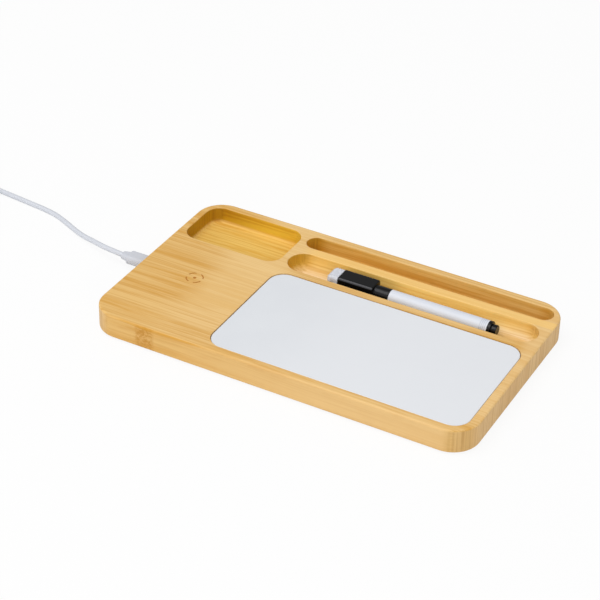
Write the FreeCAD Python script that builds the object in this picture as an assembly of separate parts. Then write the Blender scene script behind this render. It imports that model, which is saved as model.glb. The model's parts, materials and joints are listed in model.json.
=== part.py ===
"""Bamboo desk organizer with a charging pad, whiteboard, marker and power cable.

Millimetres. The origin is the centre of the footprint on the table, +X along the
board, +Y to the back and +Z up.
"""
import FreeCAD
import Part
import math
import os

V = FreeCAD.Vector

# Board
board_length = 240.0
board_width = 140.0
board_thickness = 15.0
board_corner_radius = 16.8
board_edge_round = 1.2
rim_round = 0.6

# Rims and walls between the pockets
left_rim = 4.85
right_rim = 5.25
front_rim = 5.0
back_rim = 5.75
tray_wall = 4.4
slot_wall = 6.5
groove_wall = 5.15

# Pockets
bay_length = 160.4
tray_width = 39.2
tray_depth = 10.0
tray_corner_radius = 9.2
tray_cove_radius = 3.0
slot_width = 12.6
slot_depth = 10.0
slot_floor_round = 1.5
groove_width = 20.0
groove_depth = 11.5
groove_cove_radius = 8.0

# Whiteboard
panel_thickness = 1.2
panel_corner_radius = 10.1
panel_edge_round = 0.4
panel_gap = 0.4
panel_sink = 0.3
panel_glue_thickness = 0.3
panel_glue_inset = 3.0

# Feet
foot_radius = 6.0
foot_thickness = 1.5
foot_seat = 0.5
foot_inset = 14.0
foot_edge_round = 0.3

# Charging mark, engraved over the transmitter coil
charge_inset = 36.7
charge_shift = 10.475
mark_radius = 5.4
mark_line = 0.8
mark_arc_degrees = 54.0
mark_dot_radius = 1.0
mark_depth = 0.25

# Charger cavity and its cover
cavity_size = 50.0
cavity_corner_radius = 5.0
cavity_gap = 1.0
charge_skin = 3.0
cover_margin = 6.0
cover_thickness = 2.0
cover_corner_radius = 4.0
cover_gap = 0.2
cover_screw_radius = 1.25
cover_screw_head_radius = 2.3
cover_screw_length = 9.0
cover_screw_cross = 2.6
cover_screw_cross_width = 0.6
cover_screw_cross_depth = 0.7
screw_gap = 0.05

# Charger parts
coil_wire = 1.0
coil_turns = 8
coil_pitch = 1.45
coil_glue_thickness = 0.4
ferrite_thickness = 1.5
ferrite_margin = 1.4
lead_gap = 0.3
circuit_thickness = 1.2
circuit_tongue_width = 12.0
circuit_post_radius = 2.5
circuit_post_inset = 4.0
circuit_screw_radius = 1.0
circuit_screw_head_radius = 1.9
circuit_screw_head_height = 1.3
circuit_screw_length = 3.5
chip_size = 6.0
chip_height = 0.9
bridge_size = 4.0
bridge_height = 1.2
capacitor_length = 3.2
capacitor_width = 1.6
capacitor_pitch = 2.6
capacitor_count = 4
inductor_size = 6.2
inductor_height = 3.0
part_lane = 13.0

# Charging socket and the plug that it takes
inlet_height = 6.5
inlet_shift = 10.5
socket_recess = 2.5
socket_length = 7.3
socket_wall = 0.3
socket_back = 0.8
socket_tongue_width = 6.7
socket_tongue_thickness = 0.7
socket_tongue_length = 4.5
neck_width = 14.0
neck_headroom = 1.0
port_wall = 5.0
port_gap = 0.8
plug_width = 8.25
plug_height = 2.4
plug_reach = 6.15
plug_wall = 0.3
plug_gap = 0.05
plug_face_gap = 0.5
plug_seat = 2.0
plug_insert_front = 2.0
plug_body_wall = 0.8
plug_body_height = 5.8
plug_body_corner = 2.4
plug_body_length = 17.6
plug_body_round = 0.6
relief_width = 7.6
relief_height = 4.7
relief_end_width = 5.4
relief_end_height = 4.0
relief_end_round = 0.8
relief_length = 4.9
fit_gap = 0.05

# Marker
marker_shift_x = 1.8
marker_shift_y = -0.5
marker_rest_gap = 0.8
barrel_radius = 4.75
barrel_bore_radius = 3.75
barrel_length = 62.9
barrel_edge_round = 0.5
barrel_ring_count = 4
barrel_ring_pitch = 1.1
barrel_ring_inset = 1.0
barrel_ring_width = 0.4
barrel_ring_depth = 0.15
tail_flange_radius = 4.8
tail_flange_length = 2.1
tail_knob_radius = 3.4
tail_knob_length = 3.2
tail_edge_round = 0.4
tail_spigot_length = 8.0
holder_radius = 3.95
holder_length = 11.5
holder_spigot_length = 6.0
holder_nose_radius = 2.2
holder_nose_length = 4.5
nib_radius = 1.5
nib_reach = 3.5
nib_gap = 0.1
reservoir_radius = 3.3

# Marker cap
cap_gap = 0.1
cap_mouth_gap = 0.2
cap_neck_radius = 4.9
cap_neck_length = 9.4
cap_block_size = 11.8
cap_block_length = 23.0
cap_block_round = 1.8
cap_end_round = 0.8
cap_nib_room = 1.0
eraser_width = 11.2
eraser_height = 11.0
eraser_length = 7.2
eraser_round = 2.6
eraser_seat = 1.5
eraser_seat_inset = 0.9
magnet_radius = 3.0
magnet_thickness = 3.0

# Cord
cord_diameter = 3.2
cord_runs = [
    (0.0, 0.0, 1.0),
    (-12.0, 0.0, 1.0),
    (-25.5, 7.0, 0.56),
    (-40.2, 13.6, 0.16),
    (-55.4, 21.4, 0.02),
    (-71.7, 26.6, 0.0),
    (-95.5, 29.0, 0.0),
]
loop_shift = 1.8
loop_lead_in = 25.0
loop_inner_radius = 13.2
loop_pitch = 3.7
loop_in_quarters = 12
loop_out_quarters = 13
loop_run_in = 16.0
tail_run = 9.0
tail_drop_run = 10.0
corner_share = 0.45

# Tie round the coiled cord
tie_width = 6.0
tie_thickness = 0.8
tie_gap = 0.3
tie_corner_radius = 2.0

# Supply plug at the far end
supply_width = 12.0
supply_height = 4.5
supply_length = 12.0
supply_wall = 0.3
supply_seat = 3.0
supply_body_width = 16.0
supply_body_height = 8.0
supply_body_length = 20.0
supply_body_round = 2.0
supply_relief_width = 9.0
supply_relief_height = 6.0
supply_relief_end = 4.4
supply_relief_length = 7.0
supply_tongue_thickness = 1.8
supply_tongue_recess = 0.6
supply_contact_count = 4
supply_contact_width = 1.0
supply_contact_pitch = 2.3
supply_contact_thickness = 0.2
supply_contact_length = 7.5

# Heights
foot_proud = foot_thickness - foot_seat
board_bottom = foot_proud
board_top = board_bottom + board_thickness
tray_floor = board_top - tray_depth
slot_floor = board_top - slot_depth
groove_floor = board_top - groove_depth
recess_floor = board_top - panel_sink - panel_thickness - panel_glue_thickness
cavity_ceiling = board_top - charge_skin
cover_top = board_bottom + cover_thickness

# Plan of the board
left_side = -board_length / 2
right_side = board_length / 2
front_side = -board_width / 2
back_side = board_width / 2
bay_right = right_side - right_rim
bay_left = bay_right - bay_length
tray_left = left_side + left_rim
tray_right = bay_left - tray_wall
tray_back = back_side - back_rim
tray_front = tray_back - tray_width
slot_back = back_side - back_rim
slot_front = slot_back - slot_width
groove_back = slot_front - slot_wall
groove_front = groove_back - groove_width
recess_back = groove_front - groove_wall
recess_front = front_side + front_rim

# Charger places
charge_x = left_side + charge_inset
charge_y = (front_side + tray_front) / 2 + charge_shift
cover_half = cavity_size / 2 + cover_margin
foot_x = right_side - foot_inset
foot_y = -(front_side + charge_y - cover_half) / 2
inlet_y = charge_y + inlet_shift
inlet_z = board_bottom + inlet_height
socket_height = plug_height + 2 * (plug_gap + socket_wall)
socket_width = plug_width + 2 * (plug_gap + socket_wall)
socket_mouth = left_side + socket_recess
socket_rear = socket_mouth + socket_length
circuit_top = inlet_z - socket_height / 2
circuit_bottom = circuit_top - circuit_thickness
inner_half = cavity_size / 2 - cavity_gap
inner_corner_radius = cavity_corner_radius - cavity_gap
coil_top = cavity_ceiling - coil_glue_thickness
coil_z = coil_top - coil_wire / 2
coil_bottom = coil_top - coil_wire
coil_outer_radius = inner_half - ferrite_margin - coil_wire / 2
coil_inner_radius = coil_outer_radius - coil_turns * coil_pitch
ferrite_bottom = coil_bottom - ferrite_thickness

# Marker places
marker_y = (groove_front + groove_back) / 2 + marker_shift_y
marker_z = groove_floor + marker_rest_gap + cap_block_size / 2
cap_length = eraser_length + cap_block_length + cap_neck_length + cap_mouth_gap
marker_length = cap_length + barrel_length + tail_flange_length + tail_knob_length
barrel_front = (bay_left + bay_right - marker_length) / 2 + marker_shift_x + cap_length
barrel_back = barrel_front + barrel_length
cap_mouth = barrel_front - cap_mouth_gap
block_back = cap_mouth - cap_neck_length
block_front = block_back - cap_block_length
holder_front = barrel_front - holder_length
nose_front = holder_front - holder_nose_length
nib_tip = nose_front - nib_reach
reservoir_front = barrel_front + holder_spigot_length
reservoir_back = barrel_back - tail_spigot_length

# Cable places
plug_front = socket_mouth + plug_reach
plug_body_width = plug_width + 2 * plug_body_wall
plug_body_front = socket_mouth - plug_face_gap
plug_body_back = plug_body_front - plug_body_length
cord_exit = V(plug_body_back - relief_length, inlet_y, inlet_z)
cord_radius = cord_diameter / 2
loop_low = tie_thickness + tie_gap + cord_radius
loop_high = loop_low + loop_pitch


def rounded_rectangle(x0, x1, y0, y1, radius, z=0.0):
    """A closed wire in a level plane, with arcs at its four corners."""
    r = min(radius, (x1 - x0) / 2, (y1 - y0) / 2)
    corners = [(x1 - r, y1 - r), (x0 + r, y1 - r), (x0 + r, y0 + r), (x1 - r, y0 + r)]
    arcs = []
    for quarter, (cx, cy) in enumerate(corners):
        turns = [(quarter + step / 2) * math.pi / 2 for step in range(3)]
        arcs.append([V(cx + r * math.cos(a), cy + r * math.sin(a), z) for a in turns])
    edges = []
    for arc, following in zip(arcs, arcs[1:] + arcs[:1]):
        edges.append(Part.Arc(*arc).toShape())
        if (following[0] - arc[2]).Length > 1e-6:
            edges.append(Part.LineSegment(arc[2], following[0]).toShape())
    return Part.Wire(edges)


def prism(x0, x1, y0, y1, z0, z1, radius):
    """An upright block with rounded corners in plan."""
    return Part.Face(rounded_rectangle(x0, x1, y0, y1, radius, z0)).extrude(V(0, 0, z1 - z0))


def block(x0, x1, y0, y1, z0, z1):
    return Part.makeBox(x1 - x0, y1 - y0, z1 - z0, V(x0, y0, z0))


def section_wire(x, width, height, radius, y=0.0, z=0.0):
    """A rounded rectangle that faces along X: width runs along Y and height along Z."""
    wire = rounded_rectangle(-width / 2, width / 2, -height / 2, height / 2, radius)
    wire.Placement = FreeCAD.Placement(V(x, y, z), FreeCAD.Rotation(V(1, 1, 1), 120))
    return wire


def bar(x0, x1, width, height, radius, y=0.0, z=0.0):
    """A bar along X with a rounded rectangle for its section."""
    return Part.Face(section_wire(x0, width, height, radius, y, z)).extrude(V(x1 - x0, 0, 0))


def flat_oval(x0, x1, width, height, y=0.0, z=0.0):
    """A bar along X with round sides, as a flat plug has."""
    return bar(x0, x1, width, height, height / 2, y, z)


def rod(radius, x0, x1, y=0.0, z=0.0):
    return Part.makeCylinder(radius, x1 - x0, V(x0, y, z), V(1, 0, 0))


def post(radius, x, y, z0, z1):
    return Part.makeCylinder(radius, z1 - z0, V(x, y, z0))


def edges_on(shape, axis, place, x_span=None, y_span=None):
    """The edges that lie in the plane where axis equals place, inside the spans given."""
    found = []
    for edge in shape.Edges:
        box = edge.BoundBox
        low, high = getattr(box, axis + "Min"), getattr(box, axis + "Max")
        if abs(low - place) > 1e-3 or abs(high - place) > 1e-3:
            continue
        if x_span and (box.XMin < x_span[0] - 1e-3 or box.XMax > x_span[1] + 1e-3):
            continue
        if y_span and (box.YMin < y_span[0] - 1e-3 or box.YMax > y_span[1] + 1e-3):
            continue
        found.append(edge)
    return found


def pocket(x0, x1, y0, y1, radius, floor, floor_round):
    """The space that a milling cutter clears, with a coved floor."""
    space = prism(x0, x1, y0, y1, floor, board_top + rim_round, radius)
    cove = min(floor_round, (board_top - floor) * 0.8, radius * 0.9, (y1 - y0) * 0.45)
    return space.makeFillet(cove, edges_on(space, "Z", floor))


def arc_from(start, tangent, end):
    """The edge that leaves start along tangent and bends evenly to end."""
    chord = end - start
    along = V(chord).normalize()
    across = tangent - along * tangent.dot(along)
    if across.Length < 1e-6:
        return Part.LineSegment(start, end).toShape()
    angle = math.atan2(across.Length, tangent.dot(along))
    rise = chord.Length / 2 * math.tan(angle / 2)
    middle = start + chord * 0.5 + across.normalize() * rise
    return Part.Arc(start, middle, end).toShape()


def biarc(start, start_way, end, end_way):
    """Two arcs that join start to end and keep the ways given there."""
    chord = end - start
    both = start_way + end_way
    a = 2 * (1 - start_way.dot(end_way))
    b = 2 * chord.dot(both)
    reach = (math.sqrt(b * b + 4 * a * chord.dot(chord)) - b) / (2 * a)
    first = start + start_way * reach
    second = end - end_way * reach
    join = (first + second) * 0.5
    way = (second - first).normalize()
    return [arc_from(start, start_way, join), arc_from(join, way, end)]


def tube(edges, start_way, radius):
    """A round tube along edges that follow each other smoothly."""
    path = Part.Wire(edges)
    start = edges[0].valueAt(edges[0].FirstParameter)
    ring = Part.Wire(Part.Circle(start, start_way, radius).toShape())
    return path, path.makePipeShell([ring], True, False)


def report_tube(name, path, solid, radius):
    share = solid.Volume / (math.pi * radius ** 2 * path.Length)
    print(f"{name}: length {path.Length:.1f} mm, volume over section times length {share:.5f}")


def report_gap(name, path, radius):
    """The least gap between stretches of a wound tube that lie side by side."""
    points = path.discretize(Distance=radius)
    skip = 8
    least = min(
        (p - q).Length
        for i, p in enumerate(points)
        for q in points[i + skip:]
    )
    print(f"{name}: least gap to itself {least - 2 * radius:.2f} mm")


def routed_edges(name, points):
    """Straight runs joined by tangent arcs, each as large as its two runs allow."""
    edges = []
    radii = []
    last = points[0]
    for before, corner, after in zip(points, points[1:], points[2:]):
        way_in = (corner - before).normalize()
        way_out = (after - corner).normalize()
        cut = corner_share * min((corner - before).Length, (after - corner).Length)
        turn = way_in.getAngle(way_out)
        radii.append(cut / math.tan(turn / 2))
        arc_start = corner - way_in * cut
        edges.append(Part.LineSegment(last, arc_start).toShape())
        last = corner + way_out * cut
        edges.append(arc_from(arc_start, way_in, last))
    edges.append(Part.LineSegment(last, points[-1]).toShape())
    print(f"{name}: radii " + ", ".join(f"{r:.0f}" for r in radii) + " mm")
    return edges


def wound_edges(stations, straight):
    """Biarcs through stations of (point, way), with a straight run at each end."""
    (first, first_way), (last, last_way) = stations[0], stations[-1]
    edges = [Part.LineSegment(first - first_way * straight, first).toShape()]
    for (p, way), (q, next_way) in zip(stations, stations[1:]):
        edges += biarc(p, way, q, next_way)
    edges.append(Part.LineSegment(last, last + last_way * straight).toShape())
    return edges


def station(x, y, z, radius, angle, growth, climb):
    """A point of a spiral and its way there. Growth and climb are per quarter turn."""
    c, s = math.cos(angle), math.sin(angle)
    quarter = radius * math.pi / 2
    way = V(growth * c - quarter * s, growth * s + quarter * c, climb)
    return V(x + radius * c, y + radius * s, z), way.normalize()


def group(solids):
    return Part.makeCompound(solids)


def corners_of(half):
    return [(charge_x + sx * half, charge_y + sy * half) for sx in (-1, 1) for sy in (-1, 1)]


def foot_places():
    return [(sx * foot_x, sy * foot_y) for sx in (-1, 1) for sy in (-1, 1)]


def cover_screw_places():
    return corners_of(cover_half - cover_margin / 2)


def circuit_screw_places():
    return corners_of(inner_half - circuit_post_inset)


def countersunk(x, y, gap, length):
    """A flat-head screw that points up from the underside."""
    head_radius = cover_screw_head_radius + gap
    shank_radius = cover_screw_radius + gap
    head_height = cover_screw_head_radius - cover_screw_radius
    head = Part.makeCone(head_radius, shank_radius, head_height, V(x, y, board_bottom))
    return head.fuse(post(shank_radius, x, y, board_bottom, board_bottom + length)).removeSplitter()


def charging_mark():
    """A broken ring and a dot, cut shallow into the top."""
    bottom = board_top - mark_depth
    height = mark_depth + rim_round
    base = V(charge_x, charge_y, bottom)
    up = V(0, 0, 1)
    pieces = [Part.makeCylinder(mark_dot_radius, height, base)]
    for quarter in range(4):
        outer = Part.makeCylinder(mark_radius, height, base, up, mark_arc_degrees)
        inner = Part.makeCylinder(mark_radius - mark_line, height, base, up, mark_arc_degrees)
        arc = outer.cut(inner)
        arc.rotate(base, up, quarter * 90 + 45 - mark_arc_degrees / 2)
        pieces.append(arc)
    return pieces


def bamboo_board():
    body = prism(left_side, right_side, front_side, back_side, board_bottom, board_top, board_corner_radius)
    outer = edges_on(body, "Z", board_top) + edges_on(body, "Z", board_bottom)
    body = body.makeFillet(board_edge_round, outer)
    pockets = [
        (tray_left, tray_right, tray_front, tray_back, tray_corner_radius, tray_floor, tray_cove_radius),
        (bay_left, bay_right, slot_front, slot_back, slot_width / 2, slot_floor, slot_floor_round),
        (bay_left, bay_right, groove_front, groove_back, groove_width / 2, groove_floor, groove_cove_radius),
    ]
    for space in pockets:
        body = body.cut(pocket(*space))
    rims = []
    for x0, x1, y0, y1, *_ in pockets:
        rims += edges_on(body, "Z", board_top, (x0, x1), (y0, y1))
    body = body.makeFillet(rim_round, rims)
    recess_radius = panel_corner_radius + panel_gap
    half = cavity_size / 2
    rebate_half = cover_half + cover_gap
    cuts = [
        prism(bay_left, bay_right, recess_front, recess_back,
              recess_floor, board_top + rim_round, recess_radius),
        prism(charge_x - half, charge_x + half, charge_y - half, charge_y + half,
              board_bottom, cavity_ceiling, cavity_corner_radius),
        prism(charge_x - rebate_half, charge_x + rebate_half, charge_y - rebate_half, charge_y + rebate_half,
              board_bottom, cover_top, cover_corner_radius + cover_gap),
        block(left_side + port_wall, charge_x, inlet_y - neck_width / 2, inlet_y + neck_width / 2,
              cover_top, inlet_z + socket_height / 2 + neck_headroom),
        bar(left_side - port_wall, left_side + port_wall, plug_body_width + 2 * port_gap,
            plug_body_height + 2 * port_gap, plug_body_corner + port_gap, inlet_y, inlet_z),
    ]
    cuts += charging_mark()
    for x, y in foot_places():
        cuts.append(post(foot_radius + fit_gap, x, y, board_bottom, board_bottom + foot_seat))
    for x, y in cover_screw_places():
        cuts.append(countersunk(x, y, screw_gap, cover_screw_length + screw_gap))
    for space in cuts:
        body = body.cut(space)
    return body


def whiteboard_panel():
    bottom = recess_floor + panel_glue_thickness
    panel = prism(bay_left + panel_gap, bay_right - panel_gap,
                  recess_front + panel_gap, recess_back - panel_gap,
                  bottom, bottom + panel_thickness, panel_corner_radius)
    return panel.makeFillet(panel_edge_round, edges_on(panel, "Z", bottom + panel_thickness))


def whiteboard_glue():
    inset = panel_gap + panel_glue_inset
    return prism(bay_left + inset, bay_right - inset, recess_front + inset, recess_back - inset,
                 recess_floor, recess_floor + panel_glue_thickness, panel_corner_radius - panel_glue_inset)


def rubber_feet():
    feet = []
    for x, y in foot_places():
        foot = post(foot_radius, x, y, 0, foot_thickness)
        feet.append(foot.makeFillet(foot_edge_round, edges_on(foot, "Z", 0)))
    return group(feet)


def base_cover():
    plate = prism(charge_x - cover_half, charge_x + cover_half, charge_y - cover_half, charge_y + cover_half,
                  board_bottom, cover_top, cover_corner_radius)
    for x, y in circuit_screw_places():
        plate = plate.fuse(post(circuit_post_radius, x, y, cover_top, circuit_bottom))
    plate = plate.removeSplitter()
    for x, y in circuit_screw_places():
        hole_end = circuit_top - circuit_screw_length - screw_gap
        plate = plate.cut(post(circuit_screw_radius + screw_gap, x, y, hole_end, circuit_top))
    for x, y in cover_screw_places():
        plate = plate.cut(countersunk(x, y, screw_gap, cover_screw_length))
    return plate


def cover_screws():
    screws = []
    for x, y in cover_screw_places():
        screw = countersunk(x, y, 0, cover_screw_length)
        recess_top = board_bottom + cover_screw_cross_depth
        for length, width in ((cover_screw_cross, cover_screw_cross_width),
                              (cover_screw_cross_width, cover_screw_cross)):
            screw = screw.cut(block(x - length / 2, x + length / 2, y - width / 2, y + width / 2,
                                    board_bottom, recess_top))
        screws.append(screw)
    return group(screws)


def charger_board():
    sheet = prism(charge_x - inner_half, charge_x + inner_half, charge_y - inner_half, charge_y + inner_half,
                  circuit_bottom, circuit_top, inner_corner_radius)
    tongue_left = left_side + port_wall + fit_gap
    tongue_half = circuit_tongue_width / 2
    tongue = block(tongue_left, charge_x, inlet_y - tongue_half, inlet_y + tongue_half,
                   circuit_bottom, circuit_top)
    sheet = sheet.fuse(tongue).removeSplitter()
    for x, y in circuit_screw_places():
        sheet = sheet.cut(post(circuit_screw_radius + screw_gap, x, y, circuit_bottom, circuit_top))
    return sheet


def charger_board_screws():
    screws = []
    for x, y in circuit_screw_places():
        head = post(circuit_screw_head_radius, x, y, circuit_top, circuit_top + circuit_screw_head_height)
        shank = post(circuit_screw_radius, x, y, circuit_top - circuit_screw_length, circuit_top)
        screws.append(head.fuse(shank).removeSplitter())
    return group(screws)


def transmitter_coil():
    stations = []
    for quarter in range(4 * coil_turns + 1):
        radius = coil_inner_radius + coil_pitch * quarter / 4
        angle = quarter * math.pi / 2
        stations.append(station(charge_x, charge_y, coil_z, radius, angle, coil_pitch / 4, 0))
    edges = wound_edges(stations, coil_wire)
    path, solid = tube(edges, stations[0][1], coil_wire / 2)
    report_tube("transmitter coil", path, solid, coil_wire / 2)
    report_gap("transmitter coil", path, coil_wire / 2)
    return solid


def coil_lead_places():
    return [(charge_x + coil_inner_radius, charge_y), (charge_x + coil_outer_radius, charge_y)]


def coil_leads():
    return group([post(coil_wire / 2, x, y, circuit_top, coil_bottom) for x, y in coil_lead_places()])


def coil_glue():
    return post(coil_outer_radius, charge_x, charge_y, coil_top, cavity_ceiling)


def ferrite_sheet():
    sheet = prism(charge_x - inner_half, charge_x + inner_half, charge_y - inner_half, charge_y + inner_half,
                  ferrite_bottom, coil_bottom, inner_corner_radius)
    for x, y in coil_lead_places():
        sheet = sheet.cut(post(coil_wire / 2 + lead_gap, x, y, ferrite_bottom, coil_bottom))
    return sheet


def on_circuit(x, y, length, width, height):
    """A component that stands on the circuit board, placed from the coil's centre."""
    return block(charge_x + x - length / 2, charge_x + x + length / 2, charge_y + y - width / 2,
                 charge_y + y + width / 2, circuit_top, circuit_top + height)


def control_chip():
    return on_circuit(0, -part_lane / 2, chip_size, chip_size, chip_height)


def bridge_chips():
    return group([on_circuit(side * part_lane, -part_lane / 2, bridge_size, bridge_size, bridge_height)
                  for side in (-1, 1)])


def resonant_capacitors():
    first = -capacitor_pitch * (capacitor_count - 1) / 2
    row = []
    for i in range(capacitor_count):
        x = first + i * capacitor_pitch
        row.append(on_circuit(x, part_lane, capacitor_width, capacitor_length, capacitor_width))
    return group(row)


def filter_inductor():
    return on_circuit(-part_lane, part_lane / 2, inductor_size, inductor_size, inductor_height)


def socket_shell():
    outer = flat_oval(socket_mouth, socket_rear, socket_width, socket_height, inlet_y, inlet_z)
    inner = flat_oval(socket_mouth, socket_rear, socket_width - 2 * socket_wall,
                      socket_height - 2 * socket_wall, inlet_y, inlet_z)
    return outer.cut(inner)


def socket_tongue():
    back_front = socket_rear - socket_back
    back = flat_oval(back_front, socket_rear, plug_width, plug_height, inlet_y, inlet_z)
    tongue = bar(back_front - socket_tongue_length, socket_rear, socket_tongue_width, socket_tongue_thickness,
                 socket_tongue_thickness / 4, inlet_y, inlet_z)
    return back.fuse(tongue).removeSplitter()


def marker_barrel():
    barrel = rod(barrel_radius, barrel_front, barrel_back, marker_y, marker_z)
    barrel = barrel.makeFillet(barrel_edge_round, edges_on(barrel, "X", barrel_front))
    barrel = barrel.cut(rod(barrel_bore_radius, barrel_front, barrel_back, marker_y, marker_z))
    for ring in range(barrel_ring_count):
        end = barrel_back - barrel_ring_inset - ring * barrel_ring_pitch
        start = end - barrel_ring_width
        band = rod(barrel_radius + barrel_ring_depth, start, end, marker_y, marker_z)
        barrel = barrel.cut(band.cut(rod(barrel_radius - barrel_ring_depth, start, end, marker_y, marker_z)))
    return barrel


def marker_tail_plug():
    flange_back = barrel_back + tail_flange_length
    knob_back = flange_back + tail_knob_length
    flange = rod(tail_flange_radius, barrel_back, flange_back, marker_y, marker_z)
    flange = flange.makeFillet(tail_edge_round, edges_on(flange, "X", flange_back))
    knob = rod(tail_knob_radius, barrel_back, knob_back, marker_y, marker_z)
    knob = knob.makeFillet(tail_edge_round, edges_on(knob, "X", knob_back))
    spigot = rod(barrel_bore_radius - fit_gap, reservoir_back, barrel_back, marker_y, marker_z)
    return flange.fuse([knob, spigot]).removeSplitter()


def marker_reservoir():
    return rod(reservoir_radius, reservoir_front, reservoir_back, marker_y, marker_z)


def marker_nib_holder():
    collar = rod(holder_radius, holder_front, barrel_front, marker_y, marker_z)
    spigot = rod(barrel_bore_radius - fit_gap, barrel_front, reservoir_front, marker_y, marker_z)
    nose = Part.makeCone(holder_nose_radius, holder_radius, holder_nose_length,
                         V(nose_front, marker_y, marker_z), V(1, 0, 0))
    body = collar.fuse([spigot, nose]).removeSplitter()
    return body.cut(rod(nib_radius + nib_gap, nose_front, reservoir_front, marker_y, marker_z))


def marker_nib():
    nib = rod(nib_radius, nib_tip, reservoir_front, marker_y, marker_z)
    return nib.makeFillet(nib_radius * 0.8, edges_on(nib, "X", nib_tip))


def marker_cap():
    body = bar(block_front, block_back, cap_block_size, cap_block_size, cap_block_round, marker_y, marker_z)
    body = body.makeFillet(cap_end_round, edges_on(body, "X", block_front) + edges_on(body, "X", block_back))
    body = body.fuse(rod(cap_neck_radius, block_back - cap_end_round, cap_mouth, marker_y, marker_z))
    bore_end = nose_front - cap_gap
    body = body.cut(rod(holder_radius + cap_gap, bore_end, cap_mouth, marker_y, marker_z))
    body = body.cut(rod(nib_radius + cap_nib_room, nib_tip - cap_nib_room, cap_mouth, marker_y, marker_z))
    seat_back = block_front + eraser_seat
    body = body.cut(eraser_section(block_front, seat_back, fit_gap))
    return body.cut(rod(magnet_radius + fit_gap, seat_back, seat_back + magnet_thickness, marker_y, marker_z))


def eraser_section(x0, x1, gap):
    inset = 2 * (eraser_seat_inset - gap)
    return bar(x0, x1, eraser_width - inset, eraser_height - inset, cap_block_round, marker_y, marker_z)


def cap_eraser():
    front = block_front - eraser_length
    pad = bar(front, block_front, eraser_width, eraser_height, cap_block_round, marker_y, marker_z)
    pad = pad.makeFillet(min(eraser_round, eraser_height * 0.45), edges_on(pad, "X", front))
    return pad.fuse(eraser_section(block_front, block_front + eraser_seat, 0)).removeSplitter()


def cap_magnet():
    seat_back = block_front + eraser_seat
    return rod(magnet_radius, seat_back, seat_back + magnet_thickness, marker_y, marker_z)


def inlet_plug_shell():
    rear = plug_body_front - plug_seat
    outer = flat_oval(rear, plug_front, plug_width, plug_height, inlet_y, inlet_z)
    return outer.cut(flat_oval(rear, plug_front, plug_width - 2 * plug_wall, plug_height - 2 * plug_wall,
                               inlet_y, inlet_z))


def inlet_plug_insert():
    inset = 2 * (plug_wall + fit_gap)
    rear = plug_body_front - plug_seat
    return flat_oval(rear, plug_body_front + plug_insert_front, plug_width - inset, plug_height - inset,
                     inlet_y, inlet_z)


def inlet_plug_body():
    body = bar(plug_body_back, plug_body_front, plug_body_width, plug_body_height, plug_body_corner,
               inlet_y, inlet_z)
    ends = edges_on(body, "X", plug_body_back) + edges_on(body, "X", plug_body_front)
    body = body.makeFillet(plug_body_round, ends)
    return body.cut(flat_oval(plug_body_front - plug_seat, plug_body_front, plug_width + 2 * fit_gap,
                              plug_height + 2 * fit_gap, inlet_y, inlet_z))


def inlet_plug_relief():
    wide = section_wire(plug_body_back, relief_width, relief_height, relief_height / 2, inlet_y, inlet_z)
    narrow = section_wire(cord_exit.x, relief_end_width, relief_end_height, relief_end_height / 2,
                          inlet_y, inlet_z)
    relief = Part.makeLoft([wide, narrow], True, True)
    return relief.makeFillet(relief_end_round, edges_on(relief, "X", cord_exit.x))


def cord_points():
    """The route from the plug to where the coil begins."""
    rest = cord_radius
    points = []
    for x, y, lift in cord_runs:
        points.append(V(cord_exit.x + x, cord_exit.y + y, rest + (cord_exit.z - rest) * lift))
    end = loop_start() + V(cord_diameter, 0, 0)
    points.append(end + V(loop_run_in, 0, 0))
    points.append(end)
    return points


def loop_start():
    """Where the first turn begins, heading along -X at the coil's back."""
    x, y, _ = cord_runs[-1]
    reach = loop_lead_in + loop_run_in + cord_diameter
    return V(cord_exit.x + x - reach, cord_exit.y + y + loop_shift, loop_low)


def loop_centre():
    outer = loop_inner_radius + loop_pitch * loop_in_quarters / 4
    return loop_start() - V(0, outer, 0)


def loop_end():
    """Where the last turn ends, heading along -Y at the coil's left."""
    outer = loop_inner_radius + loop_pitch * loop_out_quarters / 4
    centre = loop_centre()
    return V(centre.x - outer, centre.y, loop_high)


def cord_lead():
    points = cord_points()
    path, solid = tube(routed_edges("cord lead", points), V(-1, 0, 0), cord_radius)
    report_tube("cord lead", path, solid, cord_radius)
    return solid


def cord_coil():
    centre = loop_centre()
    stations = []
    last = loop_in_quarters + loop_out_quarters
    for quarter in range(last + 1):
        turned = quarter - loop_in_quarters
        radius = loop_inner_radius + loop_pitch * abs(turned) / 4
        growth = 0 if quarter in (0, last) else loop_pitch / 4 * ((turned > 0) - (turned < 0))
        z = loop_low if turned < 0 else loop_high
        climb = 0.0
        if turned == 0:
            z = (loop_low + loop_high) / 2
            climb = (loop_high - loop_low) * 0.75
        stations.append(station(centre.x, centre.y, z, radius, (quarter + 1) * math.pi / 2, growth, climb))
    edges = wound_edges(stations, cord_diameter)
    path, solid = tube(edges, stations[0][1], cord_radius)
    report_tube("cord coil", path, solid, cord_radius)
    report_gap("cord coil", path, cord_radius)
    return solid


def supply_axis():
    """Where the cord meets the supply plug, which lies on the table and points along -Y."""
    start = loop_end() - V(0, cord_diameter, 0)
    return V(start.x, start.y - 2 * tail_run - tail_drop_run, supply_body_height / 2)


def cord_tail():
    start = loop_end() - V(0, cord_diameter, 0)
    end = supply_axis()
    points = [start, start - V(0, tail_run, 0), end + V(0, tail_run, 0), end]
    path, solid = tube(routed_edges("cord tail", points), V(0, -1, 0), cord_radius)
    report_tube("cord tail", path, solid, cord_radius)
    return solid


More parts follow.
